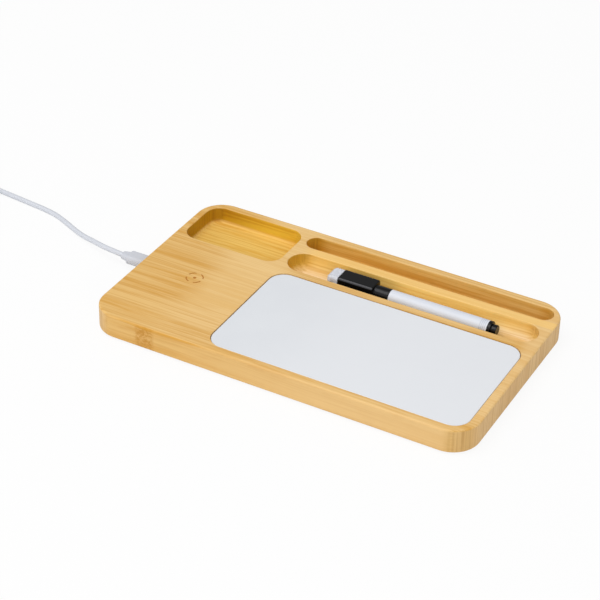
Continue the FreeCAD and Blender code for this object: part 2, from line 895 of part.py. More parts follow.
def cord_tie():
    """A closed strap round all the turns, on the side of the coil that faces the board."""
    centre = loop_centre()
    turns = max(loop_in_quarters, loop_out_quarters) / 4
    inside = loop_inner_radius - cord_radius - tie_gap
    low = math.sqrt(inside ** 2 - (tie_width / 2) ** 2) - tie_gap
    high = loop_inner_radius + loop_pitch * turns + cord_radius + tie_gap
    bottom, top = tie_thickness, loop_high + cord_radius + tie_gap
    middle_x = centre.x + (low + high) / 2
    middle_z = (bottom + top) / 2
    wide, tall = high - low, top - bottom
    straps = []
    for grow in (tie_thickness, 0.0):
        wire = rounded_rectangle(-wide / 2 - grow, wide / 2 + grow, -tall / 2 - grow, tall / 2 + grow,
                                 tie_corner_radius + grow)
        wire.Placement = FreeCAD.Placement(V(middle_x, centre.y + tie_width / 2, middle_z),
                                           FreeCAD.Rotation(V(1, 0, 0), 90))
        straps.append(Part.Face(wire).extrude(V(0, -tie_width, 0)))
    return straps[0].cut(straps[1])


def at_supply(shape):
    """Turns a shape that points along X to lie at the cord's far end."""
    turn = FreeCAD.Placement(supply_axis(), FreeCAD.Rotation(V(0, 0, 1), -90))
    shape.Placement = turn.multiply(shape.Placement)
    return shape


def supply_plug_relief():
    narrow = section_wire(0, supply_relief_end, supply_relief_end, supply_relief_end / 2 - fit_gap)
    wide = section_wire(supply_relief_length, supply_relief_width, supply_relief_height,
                        supply_relief_height / 2)
    return at_supply(Part.makeLoft([narrow, wide], True, True))


def supply_plug_body():
    back = supply_relief_length
    front = back + supply_body_length
    body = bar(back, front, supply_body_width, supply_body_height, supply_body_round)
    body = body.makeFillet(supply_body_round / 2, edges_on(body, "X", back) + edges_on(body, "X", front))
    seat = bar(front - supply_seat, front, supply_width + 2 * fit_gap, supply_height + 2 * fit_gap,
               supply_wall)
    return at_supply(body.cut(seat))


def supply_plug_shell():
    front = supply_relief_length + supply_body_length
    outer = bar(front - supply_seat, front + supply_length, supply_width, supply_height, supply_wall)
    half_width = supply_width / 2 - supply_wall
    half_height = supply_height / 2 - supply_wall
    inner = block(front - supply_seat, front + supply_length, -half_width, half_width,
                  -half_height, half_height)
    return at_supply(outer.cut(inner))


def supply_tongue_top():
    return -supply_height / 2 + supply_wall + fit_gap + supply_tongue_thickness


def supply_plug_tongue():
    front = supply_relief_length + supply_body_length
    half = supply_width / 2 - supply_wall - fit_gap
    top = supply_tongue_top()
    return at_supply(block(front - supply_seat, front + supply_length - supply_tongue_recess, -half, half,
                           top - supply_tongue_thickness, top))


def supply_plug_contacts():
    end = supply_relief_length + supply_body_length + supply_length - 2 * supply_tongue_recess
    top = supply_tongue_top()
    first = -supply_contact_pitch * (supply_contact_count - 1) / 2
    strips = []
    for i in range(supply_contact_count):
        y = first + i * supply_contact_pitch - supply_contact_width / 2
        strip = block(end - supply_contact_length, end, y, y + supply_contact_width,
                      top, top + supply_contact_thickness)
        strips.append(at_supply(strip))
    return group(strips)


NODES = {
    "bamboo_board": bamboo_board,
    "whiteboard_panel": whiteboard_panel,
    "whiteboard_glue": whiteboard_glue,
    "rubber_feet": rubber_feet,
    "base_cover": base_cover,
    "cover_screws": cover_screws,
    "charger_board": charger_board,
    "charger_board_screws": charger_board_screws,
    "transmitter_coil": transmitter_coil,
    "coil_leads": coil_leads,
    "coil_glue": coil_glue,
    "ferrite_sheet": ferrite_sheet,
    "control_chip": control_chip,
    "bridge_chips": bridge_chips,
    "resonant_capacitors": resonant_capacitors,
    "filter_inductor": filter_inductor,
    "socket_shell": socket_shell,
    "socket_tongue": socket_tongue,
    "marker_barrel": marker_barrel,
    "marker_tail_plug": marker_tail_plug,
    "marker_reservoir": marker_reservoir,
    "marker_nib_holder": marker_nib_holder,
    "marker_nib": marker_nib,
    "marker_cap": marker_cap,
    "cap_eraser": cap_eraser,
    "cap_magnet": cap_magnet,
    "inlet_plug_shell": inlet_plug_shell,
    "inlet_plug_insert": inlet_plug_insert,
    "inlet_plug_body": inlet_plug_body,
    "inlet_plug_relief": inlet_plug_relief,
    "cord_lead": cord_lead,
    "cord_coil": cord_coil,
    "cord_tail": cord_tail,
    "cord_tie": cord_tie,
    "supply_plug_relief": supply_plug_relief,
    "supply_plug_body": supply_plug_body,
    "supply_plug_shell": supply_plug_shell,
    "supply_plug_tongue": supply_plug_tongue,
    "supply_plug_contacts": supply_plug_contacts,
}

os.makedirs("parts", exist_ok=True)
for name, make in NODES.items():
    shape = make()
    if not shape.isValid():
        raise ValueError(f"{name} is not a valid solid")
    shape.exportStep(f"parts/{name}.step")
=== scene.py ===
"""Looks of a bamboo desk organizer with a charging pad, whiteboard, marker and power cable."""
import json
import math

import bmesh
import bpy
from mathutils import Matrix, Vector


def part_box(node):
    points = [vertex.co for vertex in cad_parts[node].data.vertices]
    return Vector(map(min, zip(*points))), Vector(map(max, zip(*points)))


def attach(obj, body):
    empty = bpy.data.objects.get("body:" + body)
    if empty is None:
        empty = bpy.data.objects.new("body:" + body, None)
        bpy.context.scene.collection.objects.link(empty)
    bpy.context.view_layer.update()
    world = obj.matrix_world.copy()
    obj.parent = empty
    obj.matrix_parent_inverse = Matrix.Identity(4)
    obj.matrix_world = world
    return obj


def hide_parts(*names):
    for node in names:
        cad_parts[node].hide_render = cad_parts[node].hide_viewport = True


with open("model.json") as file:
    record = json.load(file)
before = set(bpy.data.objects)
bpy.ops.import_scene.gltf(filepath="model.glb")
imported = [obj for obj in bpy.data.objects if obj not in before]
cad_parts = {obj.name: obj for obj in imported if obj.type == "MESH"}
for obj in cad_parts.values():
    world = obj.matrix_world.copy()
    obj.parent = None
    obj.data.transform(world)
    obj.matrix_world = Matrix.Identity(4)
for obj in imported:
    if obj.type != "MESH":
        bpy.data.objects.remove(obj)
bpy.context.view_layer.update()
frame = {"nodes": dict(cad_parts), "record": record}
parts = frame["nodes"]

mm = 0.001


def colour(red, green, blue):
    """A colour as the eye reads it, from 0 to 255, in the shader's linear values."""
    def linear(value):
        share = value / 255
        return share / 12.92 if share <= 0.04045 else ((share + 0.055) / 1.055) ** 2.4
    return (linear(red), linear(green), linear(blue), 1.0)


# Camera, in the part's frame
view_turn = math.radians(27.888)
view_lift = math.radians(34.088)
view_roll = math.radians(1.462)
view_distance = 1.18353
view_lens_mm = 119.972
view_sensor_mm = 36.0
view_far = 20.0
view_target = Vector((-0.02918, 0.01855, 0.001))

# Studio: the lamps' names, places, widths in metres and powers in watts, and the floor
lamps = (
    ("front_lamp", (0.9, -1.3, 0.8), 1.0, 7.0),
    ("top_lamp", (-0.35, -0.5, 1.6), 1.2, 13.0),
    ("left_lamp", (-1.3, -0.6, 0.5), 1.0, 2.0),
)
white = (1.0, 1.0, 1.0, 1.0)
dome_strength = 0.52
floor_half = 4.0
floor_height = -0.05 * mm
floor_grey = (0.86, 0.86, 0.86, 1.0)
floor_glow_share = 0.9

# Cord: the route from the plug to the coil, and from the coil to the supply plug
cord_diameter = 3.2 * mm
cord_round_steps = 5
cord_line_steps = 8
cord_route = [
    (-0.1405, -0.0015, 0.0075),
    (-0.1525, -0.0010, 0.0079),
    (-0.1655, 0.0046, 0.0056),
    (-0.1790, 0.0102, 0.0029),
    (-0.1985, 0.0204, 0.0017),
    (-0.2105, 0.0249, 0.0016),
    (-0.2360, 0.0277, 0.0016),
    (-0.2610, 0.0293, 0.0027),
    (-0.2770, 0.0293, 0.0027),
]
coil_centre = Vector((-0.2802, 0.0050, 0.0))
coil_inner_radius = 13.2 * mm
coil_pitch = 3.7 * mm
coil_low = 2.7 * mm
coil_high = 6.4 * mm
coil_turns_in = 3.0
coil_turns_out = 3.25
coil_points_per_turn = 16
tail_route = [
    (-0.305425, 0.0018, 0.0064),
    (-0.305425, -0.0072, 0.0064),
    (-0.305425, -0.0172, 0.0040),
    (-0.305425, -0.0262, 0.0040),
]

# Bamboo, laid up from strips along X: a stretch is how fast a pattern changes along X, Y and Z
strip_width = 6.6 * mm
strip_wander = 2.4 * mm
strip_apart = 9.0
seam_share = 0.05
wander_stretch = (13.0, 26.0, 26.0)
streak_stretch = (9.0, 170.0, 170.0)
fibre_stretch = (10.0, 820.0, 820.0)
upright_stretch = (900.0, 900.0, 14.0)
smudge_stretch = (34.0, 210.0, 210.0)
knuckle_stretch = (250.0, 250.0, 430.0)
bamboo_relief = 0.02 * mm

# Bamboo tones
strip_dark = colour(229, 188, 122)
strip_light = colour(234, 195, 131)
streak_dark = colour(217, 165, 80)
streak_light = colour(236, 199, 136)
fibre_dark = colour(212, 162, 84)
smudge_dark = colour(212, 156, 74)
seam_dark = colour(200, 148, 78)
end_dark = colour(221, 180, 118)
end_light = colour(232, 195, 136)
end_grain_dark = colour(190, 143, 80)
beside_mark_tone = colour(239, 203, 140)
right_rim_tone = colour(242, 205, 147)
front_pale_tone = colour(234, 198, 142)
front_knuckle_tone = colour(194, 135, 46)
front_streak_tone = colour(208, 146, 34)
ridge_tone = colour(250, 204, 118)
mark_tone = colour(186, 120, 40)

# Bamboo tints, as shares of the plain tone. In the pockets they are painted light and shade: painted bounce light,
# as light goes from wall to wall, painted shade on the tray's left wall and the groove's ends, and a painted
# shadow in the slot
left_tint = (0.95, 0.90, 0.74, 1.0)
# Painted shade on the board's corner that turns to the right and front
corner_painted_shade = (0.92, 0.90, 0.80, 1.0)
# Painted light and shade for the tray, the groove and the slot
tray_floor_painted_light = (1.06, 1.05, 0.63, 1.0)
tray_left_wall_painted_shade = (0.64, 0.50, 0.02, 1.0)
tray_wall_painted_light = (1.0, 0.99, 0.22, 1.0)
groove_left_floor_painted_light = (1.17, 1.31, 1.74, 1.0)
groove_right_floor_painted_light = (1.18, 1.36, 1.92, 1.0)
groove_left_wall_painted_light = (1.10, 1.12, 0.84, 1.0)
groove_back_wall_painted_light = (1.13, 1.08, 0.96, 1.0)
groove_right_wall_painted_light = (1.08, 1.18, 1.22, 1.0)
groove_left_end_painted_shade = (0.80, 0.68, 0.20, 1.0)
groove_right_end_painted_shade = (0.90, 0.80, 0.50, 1.0)
slot_painted_shadow = (0.88, 0.82, 0.66, 1.0)

# Places on the board where the bamboo's tone changes; a pair of places is a fade from one to the other
soft_edge = 0.5 * mm
front_side = -70.0 * mm
front_knuckle_x = -81.8 * mm
front_knuckle_half = 7.4 * mm
front_streak_left = -108.0 * mm
front_streak_thick = -72.0 * mm
front_streak_right = -34.0 * mm
front_streak_high = 15.5 * mm
front_streak_depth = 1.7 * mm
front_streak_soft = 0.4 * mm
front_pale_fade = (-90.0 * mm, 60.0 * mm)
left_fade = (-105.0 * mm, -50.0 * mm)
beside_mark = (-68.0 * mm, -48.0 * mm)
beside_mark_soft = 20.0 * mm
beside_mark_fade = (-52.0 * mm, -24.0 * mm)
right_rim_fade = (108.0 * mm, 116.0 * mm)
right_rim_front_fade = (-60.0 * mm, -45.0 * mm)
mark_radius = 7.0 * mm
mark_least_depth = 0.1 * mm
pocket_low = Vector((-115.25, 24.9, 3.0)) * mm
pocket_high = Vector((114.85, 64.35, 15.4)) * mm
pocket_side_soft = 0.2 * mm
tray_right = -50.0 * mm
tray_wall_fade = (pocket_low.x - 2.0 * mm, -70.0 * mm)
groove_left = -45.0 * mm
groove_right = 115.0 * mm
groove_left_end_fade = (groove_left + 2.0 * mm, groove_left + 13.0 * mm)
groove_right_end_fade = (groove_right - 14.0 * mm, groove_right - 3.0 * mm)
groove_back_left_fade = (groove_left + 22.0 * mm, groove_left + 36.0 * mm)
groove_back_right_fade = (groove_right - 24.0 * mm, groove_right - 12.0 * mm)
ridge_front = 45.6 * mm
ridge_back = 51.2 * mm
ridge_soft = 1.0 * mm
ridge_left_fade = (groove_left, groove_left + 12.0 * mm)
ridge_low_fade = (4.0 * mm, 5.0 * mm)

# Whiteboard, marker and cap
panel_fade = (-45.0 * mm, 45.0 * mm)
panel_wipe_stretch = (18.0, 60.0, 1.0)
ring_depth = 0.6 * mm
ring_least_depth = 0.12 * mm
ring_soft = 0.08 * mm
# How far out past the barrel's radius the cap's painted highlight grows to most of its strength
block_corner_fade = (0.2 * mm, 0.8 * mm)

# Felt and strap
felt_voxel = 0.35 * mm
felt_lump = 0.5 * mm
felt_lump_size = 1.9 * mm
felt_lump_level = 0.6
fibre_length = 0.7 * mm
fibre_radius = 0.025 * mm
fibre_knee = 0.4
fibre_reach = 0.8
fibre_rise = 0.45
fibre_lean = 0.5
fibre_seed = 4
fibres_per_square_metre = 7.0e6
strap_thickness = 0.8 * mm
strap_corner = 2.4 * mm
strap_corner_steps = 6
strap_edge = 0.25 * mm
lap_climb = 2.0 * mm
lap_share = 0.8

# Ribs on the supply plug's strain relief
relief_small_half = 2.2 * mm
relief_rib_count = 5
relief_rib_sides = 40
relief_rib_proud = 0.25 * mm
relief_rib_depth = 0.7 * mm
relief_rib_edge = 0.3 * relief_rib_depth

edge_segments = 2


# Building materials from nodes

def add(tree, kind, inputs=None, **settings):
    """A new node with its settings, and with a value or a link for each named input."""
    node = tree.nodes.new(kind)
    for name, value in settings.items():
        setattr(node, name, value)
    for socket, value in (inputs or {}).items():
        if isinstance(value, bpy.types.NodeSocket):
            tree.links.new(value, node.inputs[socket])
        else:
            node.inputs[socket].default_value = value
    return node


def maths(tree, operation, *values):
    inputs = dict(enumerate(values))
    return add(tree, "ShaderNodeMath", inputs, operation=operation).outputs[0]


def vector_maths(tree, operation, *values):
    inputs = dict(enumerate(values))
    return add(tree, "ShaderNodeVectorMath", inputs, operation=operation).outputs


def times(tree, *values):
    """The values multiplied together."""
    product = values[0]
    for value in values[1:]:
        product = maths(tree, "MULTIPLY", product, value)
    return product


def but(tree, value):
    """What a share leaves of one."""
    return maths(tree, "SUBTRACT", 1.0, value)


def weighed(tree, first, second, share):
    """The first value by its share, and the second by the rest."""
    return maths(tree, "ADD", times(tree, first, share), times(tree, second, 1.0 - share))


def between(tree, low, high, share):
    """A value that goes from low to high with the share."""
    spread = maths(tree, "SUBTRACT", high, low)
    return maths(tree, "ADD", low, times(tree, spread, share))


def ramped(tree, value, low, high, to_low=0.0, to_high=1.0):
    """A smooth step from to_low to to_high as value goes from low to high."""
    inputs = {"Value": value, "From Min": low, "From Max": high, "To Min": to_low, "To Max": to_high}
    return add(tree, "ShaderNodeMapRange", inputs, interpolation_type="SMOOTHSTEP").outputs[0]


def within(tree, value, low, high, soft):
    """One between low and high, fading to nought over the soft length outside them."""
    rising = ramped(tree, value, low - soft, low)
    return times(tree, rising, ramped(tree, value, high, high + soft, 1.0, 0.0))


def mixed(tree, share, first, second, blend="MIX"):
    inputs = {0: share, 6: first, 7: second}
    return add(tree, "ShaderNodeMix", inputs, data_type="RGBA", blend_type=blend).outputs[2]


def tinted(tree, share, face, tint):
    return mixed(tree, share, face, tint, "MULTIPLY")


def noise(tree, place, scale, detail=3.0, roughness=0.5):
    inputs = {"Vector": place, "Scale": scale, "Detail": detail, "Roughness": roughness}
    return add(tree, "ShaderNodeTexNoise", inputs).outputs["Fac"]


def stretched(tree, place, scale):
    """Places multiplied along each axis, so that a noise on them runs along the least one."""
    return vector_maths(tree, "MULTIPLY", place, scale)[0]


def axes(tree, vector):
    """A vector's X, Y and Z, by name."""
    return add(tree, "ShaderNodeSeparateXYZ", {0: vector}).outputs


def object_normal(tree):
    return axes(tree, add(tree, "ShaderNodeTexCoord").outputs["Normal"])


def new_group(name, kind, sockets_in, sockets_out):
    """A group with its named inputs, each with a default where it has one, and its named outputs."""
    tree = bpy.data.node_groups.new(name, kind)
    for socket, socket_kind, default in sockets_in:
        made = tree.interface.new_socket(socket, in_out="INPUT", socket_type=socket_kind)
        if default is not None:
            made.default_value = default
    for socket, socket_kind in sockets_out:
        tree.interface.new_socket(socket, in_out="OUTPUT", socket_type=socket_kind)
    return tree, tree.nodes.new("NodeGroupInput").outputs, tree.nodes.new("NodeGroupOutput")


def effect_group(name, sockets_in, names_out):
    """A shader group that works on a place and puts out values that change over the surface."""
    place = ("Vector", "NodeSocketVector", None)
    sockets_out = [(socket, "NodeSocketFloat") for socket in names_out]
    return new_group(name, "ShaderNodeTree", [place, *sockets_in], sockets_out)


def put_out(tree, result, values):
    for name, value in values.items():
        tree.links.new(value, result.inputs[name])
    return tree


def moulded_grain_group():
    """Fine sparkle of a moulded or sanded surface, and slow changes of tone across it."""
    tree, given, result = effect_group(
        "moulded_grain",
        [("Scale", "NodeSocketFloat", 900.0), ("Low", "NodeSocketFloat", 0.35), ("High", "NodeSocketFloat", 0.5)],
        ("Tone", "Roughness", "Height"),
    )
    fine = noise(tree, given["Vector"], given["Scale"], 2.0)
    slow = noise(tree, given["Vector"], 45.0, 2.0)
    rough = between(tree, given["Low"], given["High"], weighed(tree, fine, slow, 0.6))
    return put_out(tree, result, {"Tone": slow, "Roughness": rough, "Height": fine})


def drawn_lines_group():
    """Hair lines of drawn or turned metal along one axis, with a little tarnish."""
    tree, given, result = effect_group(
        "drawn_lines",
        [("Stretch", "NodeSocketVector", (60.0, 2400.0, 2400.0)), ("Low", "NodeSocketFloat", 0.22),
         ("High", "NodeSocketFloat", 0.4)],
        ("Tone", "Roughness", "Height"),
    )
    lines = noise(tree, stretched(tree, given["Vector"], given["Stretch"]), 1.0, 2.0)
    tarnish = noise(tree, given["Vector"], 220.0, 3.0)
    rough = between(tree, given["Low"], given["High"], lines)
    return put_out(tree, result, {"Tone": tarnish, "Roughness": rough, "Height": lines})


def matted_fibre_group():
    """Matted fibres that lie every way, for felt, ink fibre and the strap's pile."""
    tree, given, result = effect_group(
        "matted_fibre", [("Scale", "NodeSocketFloat", 1500.0)], ("Tone", "Height"))
    bent = add(tree, "ShaderNodeTexNoise", {"Vector": given["Vector"], "Scale": 500.0, "Detail": 2.0})
    swirl = stretched(tree, bent.outputs["Color"], (0.002, 0.002, 0.002))
    place = vector_maths(tree, "ADD", given["Vector"], swirl)[0]
    strands = noise(tree, place, given["Scale"], 4.0, 0.65)
    clumps = noise(tree, given["Vector"], 350.0, 2.0)
    return put_out(tree, result, {"Tone": weighed(tree, strands, clumps, 0.65), "Height": strands})


def bamboo_strips_group():
    """Strips side by side along Y, whose lines wander a little: tones, streaks, fibres and seams."""
    tree, given, result = effect_group(
        "bamboo_strips",
        [("Strip Width", "NodeSocketFloat", strip_width), ("Wander", "NodeSocketFloat", strip_wander)],
        ("Tone", "Streak", "Fibre", "Upright", "Smudge", "Seam"),
    )
    slow = noise(tree, stretched(tree, given["Vector"], wander_stretch), 1.0, 1.0)
    aside = times(tree, maths(tree, "SUBTRACT", slow, 0.5), given["Wander"])
    place = axes(tree, given["Vector"])
    y, z = maths(tree, "ADD", place["Y"], aside), maths(tree, "ADD", place["Z"], aside)
    across = maths(tree, "DIVIDE", y, given["Strip Width"])
    chance = add(tree, "ShaderNodeTexWhiteNoise", {"W": maths(tree, "FLOOR", across)},
                 noise_dimensions="1D").outputs["Value"]
    grown = add(tree, "ShaderNodeCombineXYZ", {0: place["X"], 1: y, 2: z}).outputs[0]
    along = maths(tree, "MULTIPLY_ADD", chance, strip_apart, place["X"])
    own = add(tree, "ShaderNodeCombineXYZ", {0: along, 1: y, 2: z}).outputs[0]
    smudge = noise(tree, stretched(tree, own, smudge_stretch), 1.0, 2.0)
    inside = maths(tree, "FRACT", across)
    to_edge = maths(tree, "MINIMUM", inside, but(tree, inside))
    return put_out(tree, result, {
        "Tone": chance,
        "Streak": noise(tree, stretched(tree, grown, streak_stretch), 1.0, 5.0, 0.68),
        "Fibre": noise(tree, stretched(tree, own, fibre_stretch), 1.0, 2.0, 0.5),
        "Upright": noise(tree, stretched(tree, own, upright_stretch), 1.0, 3.0, 0.6),
        "Smudge": ramped(tree, smudge, 0.60, 0.78),
        "Seam": ramped(tree, to_edge, 0.0, seam_share, 1.0, 0.0),
    })


def set_plain(node, values):
    for socket, value in values.items():
        node.inputs[socket].default_value = value


def bumped(tree, shader, height, depth):
    inputs = {"Height": height, "Strength": 1.0, "Distance": depth}
    bump = add(tree, "ShaderNodeBump", inputs)
    tree.links.new(bump.outputs[0], shader.inputs["Normal"])


def start_finish(name, group, settings):
    """A material with a bare shader to fill in, its place in the object, and a shared effect there."""
    finish = bpy.data.materials.new(name)
    finish.use_nodes = True
    tree = finish.node_tree
    tree.nodes.clear()
    shader = tree.nodes.new("ShaderNodeBsdfPrincipled")
    output = tree.nodes.new("ShaderNodeOutputMaterial")
    tree.links.new(shader.outputs[0], output.inputs[0])
    place = tree.nodes.new("ShaderNodeTexCoord").outputs["Object"]
    effect = add(tree, "ShaderNodeGroup", node_tree=group)
    tree.links.new(place, effect.inputs["Vector"])
    set_plain(effect, settings)
    return finish, tree, shader, place, effect.outputs


def fill_shader(tree, shader, base, effect, height, depth, plain=None):
    """Gives the shader its colour, its relief and the effect's roughness, and plain values last."""
    tree.links.new(base, shader.inputs["Base Color"])
    if "Roughness" in effect:
        tree.links.new(effect["Roughness"], shader.inputs["Roughness"])
    bumped(tree, shader, height, depth)
    set_plain(shader, plain or {})


def surfaced(name, group, settings, dark, light, depth, plain=None):
    """A finish whose tone, roughness and relief all come from one shared effect."""
    finish, tree, shader, _, effect = start_finish(name, group, settings)
    base = mixed(tree, effect["Tone"], dark, light)
    fill_shader(tree, shader, base, effect, effect["Height"], depth, plain)
    return finish


# Bamboo

def on_front(tree, where, inner, outer):
    """One on the front, fading to nought from the outer depth behind it to the inner one."""
    return ramped(tree, where["Y"], front_side + inner, front_side + outer)


def front_knuckle(tree, place, where):
    """The one knuckle on the front: a dark band of small swirling rings, as high as the front is."""
    inputs = {"Vector": stretched(tree, place, knuckle_stretch), "Scale": 1.0, "Detail": 2.0, "Distortion": 2.2}
    rings = add(tree, "ShaderNodeTexNoise", inputs).outputs["Fac"]
    low, high = front_knuckle_x - front_knuckle_half / 2, front_knuckle_x + front_knuckle_half / 2
    band = within(tree, where["X"], low, high, front_knuckle_half / 2)
    swirl = ramped(tree, rings, 0.36, 0.64, 0.25, 0.85)
    return times(tree, band, on_front(tree, where, 0.8 * mm, 0.2 * mm), swirl)


def front_streak(tree, where, strip):
    """A golden line under the front's top edge, thickest near the knuckle and thin towards its ends."""
    swell = times(tree, ramped(tree, where["X"], front_streak_left, front_streak_thick),
                  ramped(tree, where["X"], front_streak_thick, front_streak_right, 1.0, 0.0))
    drop = maths(tree, "SUBTRACT", front_streak_high, where["Z"])
    past = maths(tree, "SUBTRACT", drop, times(tree, swell, front_streak_depth))
    line = times(tree, ramped(tree, past, 0.0, front_streak_soft, 1.0, 0.0), ramped(tree, drop, -soft_edge, 0.0))
    return times(tree, line, on_front(tree, where, 1.2 * mm, 0.5 * mm), ramped(tree, swell, 0.0, 0.4),
                 ramped(tree, strip["Streak"], 0.40, 0.55, 0.3, 0.95))


def strip_face(tree, strip, front):
    """The strips' own tones, streaks, fibres and seams, which are softer on the front."""
    faint = ramped(tree, front, 0.0, 1.0, 1.0, 0.6)
    face = mixed(tree, strip["Tone"], strip_dark, strip_light)
    dark_streak = times(tree, ramped(tree, strip["Streak"], 0.36, 0.53, 0.85, 0.0), faint)
    face = mixed(tree, dark_streak, face, streak_dark)
    face = mixed(tree, ramped(tree, strip["Streak"], 0.52, 0.68, 0.0, 0.6), face, streak_light)
    fibre = times(tree, ramped(tree, strip["Fibre"], 0.44, 0.66, 0.0, 0.7), faint)
    face = mixed(tree, fibre, face, fibre_dark)
    face = mixed(tree, times(tree, strip["Smudge"], 0.35), face, smudge_dark)
    return mixed(tree, times(tree, strip["Seam"], 0.16), face, seam_dark)


def outside_tones(tree, face, where, facing, place, strip, front, pocket):
    """Slow changes of tone over the top, front and ends, with the front's knuckle and golden line, and painted
    shade on the corner that turns to the right and front.
    """
    open_top = but(tree, pocket)
    leftward = maths(tree, "MAXIMUM", ramped(tree, where["X"], *left_fade, 0.9, 0.1), front)
    face = tinted(tree, times(tree, leftward, open_top), face, left_tint)
    by_mark = times(tree, within(tree, where["X"], *beside_mark, beside_mark_soft), open_top,
                    ramped(tree, where["Y"], *beside_mark_fade, 0.0, 0.45))
    face = mixed(tree, by_mark, face, beside_mark_tone)
    right_rim = times(tree, ramped(tree, where["X"], *right_rim_fade, 0.0, 0.4),
                      ramped(tree, where["Y"], *right_rim_front_fade))
    face = mixed(tree, right_rim, face, right_rim_tone)
    pale = times(tree, front, ramped(tree, where["X"], *front_pale_fade, 0.0, 0.5))
    face = mixed(tree, pale, face, front_pale_tone)
    face = mixed(tree, front_knuckle(tree, place, where), face, front_knuckle_tone)
    face = mixed(tree, front_streak(tree, where, strip), face, front_streak_tone)
    ridge = times(tree, within(tree, where["Y"], ridge_front, ridge_back, ridge_soft),
                  ramped(tree, where["X"], *ridge_left_fade, 0.0, 0.6), ramped(tree, where["Z"], *ridge_low_fade))
    face = mixed(tree, ridge, face, ridge_tone)
    ends = times(tree, ramped(tree, maths(tree, "ABSOLUTE", facing["X"]), 0.12, 0.6),
                 ramped(tree, maths(tree, "ABSOLUTE", facing["Z"]), 0.15, 0.5, 1.0, 0.0))
    end_tone = mixed(tree, strip["Tone"], end_dark, end_light)
    end_tone = mixed(tree, ramped(tree, strip["Upright"], 0.40, 0.70, 0.0, 0.6), end_tone, end_grain_dark)
    face = mixed(tree, ends, face, end_tone)
    # Painted shade where the board turns to the right and the front
    corner = times(tree, ramped(tree, facing["X"], 0.05, 0.35), ramped(tree, facing["Y"], -0.25, -0.6))
    return tinted(tree, corner, face, corner_painted_shade)


def in_pockets(tree, where):
    """One inside the tray, the groove and the slot, and nought on the board's outside."""
    pocket = within(tree, where["Z"], pocket_low.z, pocket_high.z, soft_edge)
    for axis, low, high in (("X", pocket_low.x, pocket_high.x), ("Y", pocket_low.y, pocket_high.y)):
        pocket = times(tree, pocket, within(tree, where[axis], low, high, pocket_side_soft))
    return pocket


def painted_pocket_light(tree, face, where, facing, pocket):
    """Warmer painted light and shade in the tray, the groove and the slot: painted bounce light on floors and
    walls, painted shade on the tray's left wall and the groove's ends, and a painted shadow in the slot.
    """
    tray = times(tree, pocket, ramped(tree, where["X"], tray_right, tray_right - soft_edge))
    bay = maths(tree, "SUBTRACT", pocket, tray)
    level = ramped(tree, facing["Z"], 0.3, 0.9)
    steep = but(tree, level)
    # Painted bounce light on the tray's floor and walls, and painted shade on its left wall
    face = tinted(tree, times(tree, tray, level), face, tray_floor_painted_light)
    wall_tint = mixed(tree, ramped(tree, where["X"], *tray_wall_fade), tray_left_wall_painted_shade, tray_wall_painted_light)
    face = tinted(tree, times(tree, tray, steep), face, wall_tint)
    # Painted light on the groove's floor and walls, paler and brighter to the right
    rightward = ramped(tree, where["X"], groove_left, groove_right)
    floor_tint = mixed(tree, rightward, groove_left_floor_painted_light, groove_right_floor_painted_light)
    face = tinted(tree, times(tree, bay, level), face, floor_tint)
    wall_tint = mixed(tree, rightward, groove_left_wall_painted_light, groove_right_wall_painted_light)
    bay_wall = times(tree, bay, steep)
    face = tinted(tree, bay_wall, face, wall_tint)
    # Painted shade on the groove's walls at its two ends
    left_end = ramped(tree, where["X"], *groove_left_end_fade, 1.0, 0.0)
    face = tinted(tree, times(tree, bay_wall, left_end), face, groove_left_end_painted_shade)
    right_end = ramped(tree, where["X"], *groove_right_end_fade)
    face = tinted(tree, times(tree, bay_wall, right_end), face, groove_right_end_painted_shade)
    # Painted light on the groove's back wall behind the cap, where the cap's shadow falls
    in_slot = ramped(tree, where["Y"], ridge_back - soft_edge, ridge_back)
    groove_back = times(tree, bay_wall, but(tree, in_slot), ramped(tree, facing["Y"], -0.2, -0.6),
                        ramped(tree, where["X"], *groove_back_left_fade),
                        ramped(tree, where["X"], *groove_back_right_fade, 1.0, 0.2))
    face = tinted(tree, groove_back, face, groove_back_wall_painted_light)
    # Painted shadow in the slot
    return tinted(tree, times(tree, bay, in_slot), face, slot_painted_shadow)


def engraved(tree, face, place, where):
    """A scorched tone in the engraved mark over the coil."""
    low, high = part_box("transmitter_coil")
    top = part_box("bamboo_board")[1].z
    centre = Vector(((low.x + high.x) / 2, (low.y + high.y) / 2, top))
    near = maths(tree, "LESS_THAN", vector_maths(tree, "DISTANCE", place, centre)["Value"], mark_radius)
    sunk = maths(tree, "LESS_THAN", where["Z"], top - mark_least_depth)
    return mixed(tree, times(tree, near, sunk, 0.9), face, mark_tone)


def bamboo_finish(strips):
    settings = {"Strip Width": strip_width, "Wander": strip_wander}
    finish, tree, shader, place, strip = start_finish("bamboo", strips, settings)
    where = axes(tree, place)
    facing = object_normal(tree)
    front = on_front(tree, where, 1.4 * mm, 0.6 * mm)
    pocket = in_pockets(tree, where)
    face = strip_face(tree, strip, front)
    face = outside_tones(tree, face, where, facing, place, strip, front, pocket)
    face = painted_pocket_light(tree, face, where, facing, pocket)
    face = engraved(tree, face, place, where)
    tree.links.new(ramped(tree, strip["Streak"], 0.2, 0.8, 0.60, 0.50), shader.inputs["Roughness"])
    relief = maths(tree, "SUBTRACT", strip["Fibre"], strip["Seam"])
    fill_shader(tree, shader, face, strip, relief, bamboo_relief, {"Specular IOR Level": 0.3})
    return finish


# Other finishes

